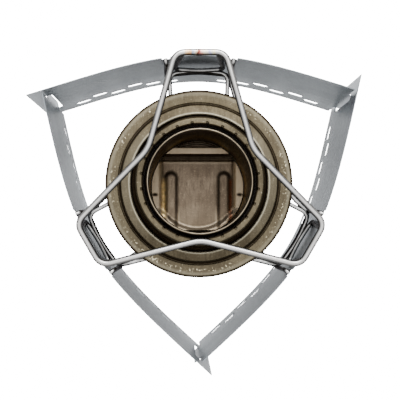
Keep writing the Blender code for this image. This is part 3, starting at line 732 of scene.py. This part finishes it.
def bowl_mesh():
    """Lower shell: flat underside, rounded foot, straight side and a turned-out lip."""
    outside = [(0, 0), (22, 0), (25, 0.7), (27.3, 2.4), (28.6, 5), (30.3, LIP_Z - 1.2), (31.2, LIP_Z - 0.2),
               (36.5, LIP_Z)]
    inside = sheet_offset(outside, 0.6)
    inside[0] = (0, 0.6)
    inside[-1] = (36.5, LIP_Z + 0.6)
    bends = [0, 4, 3, 3, 4, 1.2, 0.8, 0.15, 0.15, 0.8, 0.8, 3, 2, 2, 3, 0]
    section = half_section(np.vstack([outside, inside[::-1]]), np.array(bends))
    section[:, 0] = np.maximum(section[:, 0], 0)
    angles = 2 * np.pi * np.arange(160) / 160
    mesh = grid_mesh("burner_lower_shell", turned_surface(section, angles), True, True)
    # darker towards the top of the shell, under the flange
    soot_and_shade = np.clip((section[:, 1] - 6) / 40, 0, 0.5)
    add_field(mesh, "soot_and_shade", np.broadcast_to(soot_and_shade[:, None], (len(section), 160)))
    return mesh


def collar_section():
    """Half section of the upper shell: rolled edge, flange, step, shoulder, thread, land and lip."""
    edge, flange, land = FLANGE_R, FLANGE_Z, LAND_Z
    top = [(edge, flange - 1.8), (edge, flange - 0.4), (edge - 0.4, flange), (32.8, flange),
           (32.5, flange - 0.3), (31.9, flange - 0.3), (31.3, flange + 3.0), (30.9, flange + 3.5),
           (27.7, flange + 4.2), (27.1, flange + 3.9), (26.8, flange + 2.6), (25.7, flange + 2.2),
           (24.9, flange + 3.6), (25.4, flange + 5.2), (24.9, flange + 6.8), (25.4, flange + 8.4),
           (24.9, flange + 10.0), (25.4, flange + 11.6), (24.9, land - 1.6), (24.6, land - 0.5),
           (24.1, land)]
    top += [(radius, land) for radius in np.arange(23.3, 22.35, -0.12)]
    top += [(22.3, land), (21.9, land - 0.5), (21.8, land - 3.3)]
    under = [(22.3, land - 3.3), (22.4, land - 0.8), (23.8, land - 0.6), (24.2, land - 1.6),
             (24.3, flange + 1.6), (27.2, flange + 2.0), (27.6, flange + 3.4), (30.4, flange + 2.8),
             (30.7, flange + 2.4), (31.3, flange - 0.9), (32.8, flange - 0.9), (33.1, flange - 0.6),
             (edge - 0.7, flange - 0.6), (edge - 0.6, flange - 1.8)]
    bends = [0.1, 0.2, 0.3, 0.15, 0.2, 0.3, 0.25, 0.25, 0.3, 0.3, 0.4, 0.4] + [0.4] * 6
    bends += [0.4, 0.3, 0.3] + [0.0] * (len(top) - 24) + [0.05, 0.25, 0.1] + [0.1] * 14
    return half_section(top + under, np.array(bends), 1.4)


def jet_angles():
    """Angles round the collar, closer together beside each jet."""
    share = np.linspace(-1, 1, 17)[:-1]
    within = np.sign(share) * np.abs(share) ** 2.2 * np.pi / JETS
    return (within[None, :] + 2 * np.pi * (np.arange(JETS)[:, None] + 0.5) / JETS).ravel()


def collar_mesh():
    """The turned upper shell, with its surface sunk 2.5 mm inside each jet's circle."""
    section = collar_section()
    angles = jet_angles()
    points = turned_surface(section, angles)
    nearest = (np.round(angles * JETS / (2 * np.pi) - 0.5) + 0.5) * 2 * np.pi / JETS
    jets = JET_CIRCLE * np.stack([np.cos(nearest), np.sin(nearest)], -1)
    away = np.linalg.norm(points[..., :2] - jets[None], axis=-1)
    upper = section[:, 1] > LAND_Z - 0.45
    sink = np.clip((JET_R + JET_EDGE - away) / JET_EDGE, 0, 1) * upper[:, None]
    points[..., 2] -= JET_DEPTH * sink
    mesh = grid_mesh("burner_upper_shell", points, True, True)
    radius, height = section[:, 0], section[:, 1]
    # Painted shade: the step, the moat, the neck, the lip, the rolled rim and the sunk jets are darkened, and
    # the shoulder towards the north and more towards the south.
    step = np.exp(-((radius - 32.0) / 0.5) ** 2) * (height < FLANGE_Z + 2.6) * (height > FLANGE_Z - 0.5)
    moat = (np.abs(radius - 26.1) < 1.0) * (height < FLANGE_Z + 3.9) * (height > FLANGE_Z + 2.1)
    neck = (radius < 25.6) * np.clip((LAND_Z - 0.3 - height) / 1.0, 0, 1)
    lip = np.clip((22.35 - radius) / 0.15, 0, 1)
    rim = np.clip((radius - FLANGE_R + 0.75) / 0.15, 0, 1)
    shoulder = (radius > 27.8) * (radius < 31.3) * (height > FLANGE_Z + 2.8)
    ends = 0.14 * soft_step(np.sin(angles), 0.5, 0.95) + 0.34 * soft_step(-np.sin(angles), 0.5, 0.95)
    soot_and_shade = np.maximum.reduce([step, moat, 0.95 * neck, lip, rim])[:, None] * np.ones(len(angles))
    soot_and_shade = np.maximum(soot_and_shade, shoulder[:, None] * ends)
    # Painted highlights on the rounded inner edge of the shoulder's land and by the flange's edge, and
    # painted light on the shoulder's east and west sides.
    shine = np.exp(-((radius - 27.6) / 0.3) ** 2) * (height > FLANGE_Z + 3.5)
    shine = shine + 0.25 * np.exp(-((radius - 36.4) / 0.3) ** 2) * (height > FLANGE_Z - 0.4)
    sides = 0.07 * shoulder[:, None] * soft_step(np.abs(np.cos(angles)), 0.6, 0.95)
    add_field(mesh, "painted_highlight", shine[:, None] + sides)
    add_field(mesh, "soot_and_shade", np.maximum(soot_and_shade, sink))
    return mesh


def inner_wall_mesh():
    """Inner wall of the cup with a bright bead at its rim."""
    corners = [(20.6, 1.9), (21.2, 1.9), (21.2, 40.4), (20.5, 42.0), (20.6, 44.2), (20.2, 45.0), (19.8, 45.0),
               (19.4, 44.2), (19.7, 42.2), (20.6, 40.2)]
    section = half_section(corners, np.array([0.1, 0.1, 0.6, 0.6, 0.2, 0.2, 0.2, 0.2, 0.6, 0.6]), 1.6)
    angles = 2 * np.pi * np.arange(192) / 192
    mesh = grid_mesh("cup_inner_wall", turned_surface(section, angles), True, True)
    radius, height = section[:, :1], section[:, 1:2]
    # Painted shade: the wall is darker on its +Y side and towards its top, and the bead at the rim is left
    # light.
    painted_north_shade = soft_step(np.sin(angles), 0.55, 0.95) * soft_step(height, 8.0, 30.0)
    inner = 0.3 + 0.68 * np.maximum(painted_north_shade, soft_step(height, 24.0, 41.0))
    ring = np.where(height > 44.3, 0.0, 0.4)
    soot_and_shade = np.where(height > 42.3, ring, np.where(radius > 20.75, 1.0, inner))
    add_field(mesh, "soot_and_shade", soot_and_shade)
    return mesh


def cup_floor_mesh():
    """Turned floor of the cup with a pressed groove near its edge."""
    corners = [(0, 0.9), (20.3, 0.9), (20.3, 2.0), (19.7, 2.2), (19.1, 1.7), (18.3, 1.7), (17.8, 1.9),
               (0, 1.9)]
    section = half_section(corners, np.array([0, 0.2, 0.2, 0.3, 0.3, 0.3, 0.3, 0]), 1.2)
    angles = 2 * np.pi * np.arange(128) / 128
    mesh = grid_mesh("cup_floor_disc", turned_surface(section, angles), True, True)
    # painted shade: the floor is darkened all over, as it lies deep in the gap behind the insert
    add_field(mesh, "soot_and_shade", np.full((len(section), 128), 0.8))
    return mesh


def rib_distance(x, y, centre):
    """Distance from a rib's centre line."""
    return np.hypot(x - centre, y - np.minimum(y, 4.2))


def insert_mesh():
    """Pressed insert, a disc with a straight back edge.

    Height = underside + raised middle + ribs - cross groove + raised back band + front lip, with each
    term a smooth step of x, y, the distance from a rib's line or the distance from the axis.
    """
    rows = np.linspace(-18.6, 17.4, 170)
    limit = np.sqrt(20.1 ** 2 - rows ** 2)
    x = limit[:, None] * np.sin(np.linspace(-1, 1, 180) * 1.4)[None] / np.sin(1.4)
    y = np.broadcast_to(rows[:, None], x.shape)
    around = np.hypot(x, y)
    nearest = np.minimum(rib_distance(x, y, -11.6), rib_distance(x, y, 11.6))
    height = 2.4 + 0.45 * (1 - soft_step(np.abs(x), 14.6, 17.2)) + 0.6 * (1 - soft_step(nearest, 1.2, 3.4))
    height -= 0.5 * (soft_step(y, 11.2, 12.6) - soft_step(y, 13.4, 14.4))
    height += 2.2 * soft_step(y, 13.8, 14.8) + 1.3 * soft_step(around, 17.0, 19.6) * soft_step(-y, 8.0, 12.0)
    top = np.stack([x, y, height + 0.6], -1)
    under = np.stack([x, y, height], -1)
    ring = np.concatenate([top, under[:, ::-1]], axis=1)
    shut = (ring + np.concatenate([under, top[:, ::-1]], axis=1)) / 2
    points = np.concatenate([shut[:1], ring, shut[-1:]])
    mesh = grid_mesh("cup_insert_plate", points, False, True)
    beside = soft_step(np.abs(x), 12.2, 13.4) * soft_step(-y, -5.5, -3.0)
    crease = 0.85 * np.exp(-((nearest - 2.4) / 0.85) ** 2) * (1 - 0.85 * beside)
    crease = crease * (1 - 0.75 * soft_step(-y, 8.0, 15.0))
    valley = soft_step(y, 11.9, 13.1) - soft_step(y, 13.2, 14.6)
    notch = np.exp(-(((np.abs(x) - 18.6) / 1.3) ** 2 + ((y + 3.0) / 0.75) ** 2) ** 2)
    back_edge = soft_step(y, 17.0, 17.4)
    band = soft_step(y, 14.5, 15.1)
    front = soft_step(-y, 12.5, 14.5) * soft_step(around, 16.4, 17.6)
    lit_edge = np.exp(-((y - 11.1) / 0.5) ** 2) * (np.abs(x) < 15)
    shelf = soft_step(np.abs(x), 15.2, 16.2) * (1 - soft_step(y, 10.5, 12.0))
    inner_side = np.exp(-((nearest - 3.3) / 0.5) ** 2) * (np.abs(x) < 11.6) * soft_step(-y, 6.0, 13.0)
    # Painted shade in the cross groove, the side notches and the gap behind the back edge, and a dark line
    # round the ribs; painted light on the raised band, the front lip, the lit edge, the shelves, beside the
    # ribs and towards the front.
    fields = {"soot_and_shade": np.maximum.reduce([crease, 0.9 * valley, notch, back_edge]),
              "amber": (np.exp(-((x + 14.9) / 0.9) ** 2) * soft_step(-y, -5, -1)
                        * soft_step(y, -15.5, -12)),
              "rust": 0.8 * np.exp(-((x - 14.4) / 0.7) ** 2) * soft_step(-y, -5, -2),
              "painted_highlight": np.clip(0.75 * band + 0.4 * front + 0.3 * lit_edge + (0.6 + 0.25 * (x > 0)) * shelf
                                + 0.4 * inner_side + 0.12 * soft_step(-y, 0.0, 14.0), 0, 1)}
    for name, values in fields.items():
        ring_values = np.concatenate([values, values[:, ::-1]], axis=1)
        add_field(mesh, name, np.concatenate([ring_values[:1], ring_values, ring_values[-1:]]))
    return mesh


def wick_mesh():
    """Cotton packed between the walls, its top face uneven."""
    corners = [(21.5, 2), (23.8, 2.4), (24.0, 38), (22.8, 39.2), (21.5, 39)]
    section = half_section(corners, np.array([0.5, 1.0, 1.5, 0.8, 0.3]), 2.0)
    angles = 2 * np.pi * np.arange(96) / 96
    points = turned_surface(section, angles)
    swell = np.sin(7 * angles) * np.sin(3 * angles + 1) * 0.25 - 0.25
    points[..., 2] += swell[None] * (section[:, 1:2] > 37)
    return grid_mesh("cotton_wick", points, True, True)


# ---------------------------------------------------------------- stage

def look_at(item, target):
    """Turn a light so that it shines at the target."""
    direction = np.asarray(target, float) - np.asarray(item.location)
    item.rotation_euler = Vector(direction).to_track_quat("-Z", "Y").to_euler()


def soft_light(name, location, size, power, colour):
    """Square studio softbox aimed at the stove."""
    data = bpy.data.lights.new(name, "AREA")
    data.size = size
    data.energy = power
    data.color = colour
    item = bpy.data.objects.new(name, data)
    bpy.context.scene.collection.objects.link(item)
    item.location = location
    look_at(item, (0, 0, 0.03))


def make_stage():
    """Pale floor, soft light from above and behind, a pale surround and the camera overhead."""
    floor_finish, tree, shader = new_finish("pale_floor", 0.9, 0.0)
    cloud = noise(tree, place_mm(tree), 60.0, 2.0)
    tree.links.new(mixed(tree, cloud, (0.88, 0.88, 0.88), (0.91, 0.91, 0.91)), shader.inputs["Base Color"])
    shader.inputs["Emission Color"].default_value = (1, 1, 1, 1)
    seen = add_node(tree, "LightPath").outputs["Is Camera Ray"]
    tree.links.new(spread(tree, seen, 0, 1, *FLOOR_GLOW), shader.inputs["Emission Strength"])
    half = 2000.0
    u, v = np.meshgrid(np.linspace(-half, half, 9), np.linspace(-half, half, 9), indexing="ij")
    mesh = grid_mesh("pale_floor", np.stack([u, v, np.full_like(u, GROUND - 0.02)], -1), False, False)
    mesh.flip_normals()
    mesh.materials.append(floor_finish)
    floor = bpy.data.objects.new("pale_floor", mesh)
    bpy.context.scene.collection.objects.link(floor)
    soft_light("back_softbox", (0.05, 0.50, 0.60), 0.45, 7.0, (1.0, 1.0, 1.0))
    world = bpy.data.worlds.new("studio_surround")
    world.use_nodes = True
    bpy.context.scene.world = world
    tree = world.node_tree
    direction = add_node(tree, "TexCoord").outputs["Generated"]
    height = add_node(tree, "SeparateXYZ", {"Vector": direction}).outputs["Z"]
    colour = ramp(tree, height, [(0.0, (0.10, 0.10, 0.10)), (0.30, (0.14, 0.14, 0.145)),
                                 (0.75, (0.6, 0.6, 0.6)), (0.95, (1.0, 1.0, 1.0))])
    background = tree.nodes["Background"]
    tree.links.new(colour, background.inputs["Color"])
    seen = add_node(tree, "LightPath").outputs["Is Camera Ray"]
    tree.links.new(spread(tree, seen, 0, 1, *SURROUND_GLOW), background.inputs["Strength"])
    data = bpy.data.cameras.new("overhead_camera")
    data.lens = 62.7
    data.sensor_width = 36.0
    data.shift_x = 0.045
    data.shift_y = 0.074
    data.clip_start = 0.01
    camera = bpy.data.objects.new("overhead_camera", data)
    bpy.context.scene.collection.objects.link(camera)
    camera.location = (-0.0068, -0.0184, 0.310)
    bpy.context.scene.camera = camera


# ---------------------------------------------------------------- assembly

def make_stove():
    """Make the finishes and every piece, and put each piece on its body in place of its CAD node."""
    sheet_steel = windshield_finish()
    ring_steel = pot_ring_finish()
    wire_steel = cradle_finish()
    collar_brass = collar_finish()
    shell_brass = brass_finish("aged_shell_brass", (0.130, 0.109, 0.069), (0.082, 0.067, 0.043),
                               (0.026, 0.018, 0.010), 0.44)
    cup_brass = brass_finish("sooty_and_shaded_cup_brass", (0.30, 0.255, 0.18), (0.18, 0.145, 0.10),
                             (0.052, 0.037, 0.026), 0.34)
    for index, body in enumerate(("windshield", "gate_panel", "windshield")):
        mesh = windshield_sheet(f"windshield_sheet_{index + 1}", index * THIRD)
        add_piece(mesh, sheet_steel, body, [f"windshield_panel_{index + 1}"])
    add_piece(pot_ring_mesh(), ring_steel, "pot_support", ["pot_ring"])
    cradle = wire_mesh("cradle_ring_wire", cradle_ring_path(), True, CRADLE_WIRE, soot_and_shade=loop_painted_shade)
    add_piece(cradle, wire_steel, "cradle", ["cradle_ring"])
    for lobe in range(3):
        turn = lobe * THIRD
        outward = turned_about_z(np.array([[0.0, 1.0, 0.0]]), turn)[0]
        sideways = turned_about_z(np.array([[1.0, 0.0, 0.0]]), turn)[0]
        path = turned_about_z(bracket_path(), turn)
        path = path + (POT_END_Y[(3 - lobe) % 3] - POT_END_LINE) * np.array([*outward[:2], 0.0])
        mesh = wire_mesh(f"riser_bracket_wire_{lobe + 1}", path, False, THIN_WIRE, outward, soot_and_shade=bracket_painted_shade)
        add_piece(mesh, wire_steel, "pot_support", [f"riser_bracket_{lobe + 1}"])
        path = turned_about_z(rest_loop_path(), turn)
        mesh = wire_mesh(f"rest_loop_wire_{lobe + 1}", path, False, THIN_WIRE, soot_and_shade=loop_painted_shade)
        add_piece(mesh, wire_steel, "cradle", [f"rest_loop_{lobe + 1}"])
        for order, side in enumerate((-1, 1)):
            number = 2 * lobe + order + 1
            path = turned_about_z(hanger_path(side), turn)
            mesh = wire_mesh(f"hanger_{number}", path, False, THIN_WIRE, sideways, soot_and_shade=hanger_painted_shade)
            add_piece(mesh, wire_steel, "cradle", [f"hanger_wire_{number}"])
    add_piece(bowl_mesh(), shell_brass, "burner", ["burner_bowl"])
    add_piece(collar_mesh(), collar_brass, "burner", ["burner_collar"])
    add_piece(inner_wall_mesh(), cup_brass, "burner", ["inner_wall"])
    add_piece(cup_floor_mesh(), cup_brass, "burner", ["cup_floor"])
    add_piece(insert_mesh(), insert_finish(), "burner", ["floor_plate"])
    add_piece(wick_mesh(), wick_finish(), "burner", ["wick"])


make_stage()
make_stove()
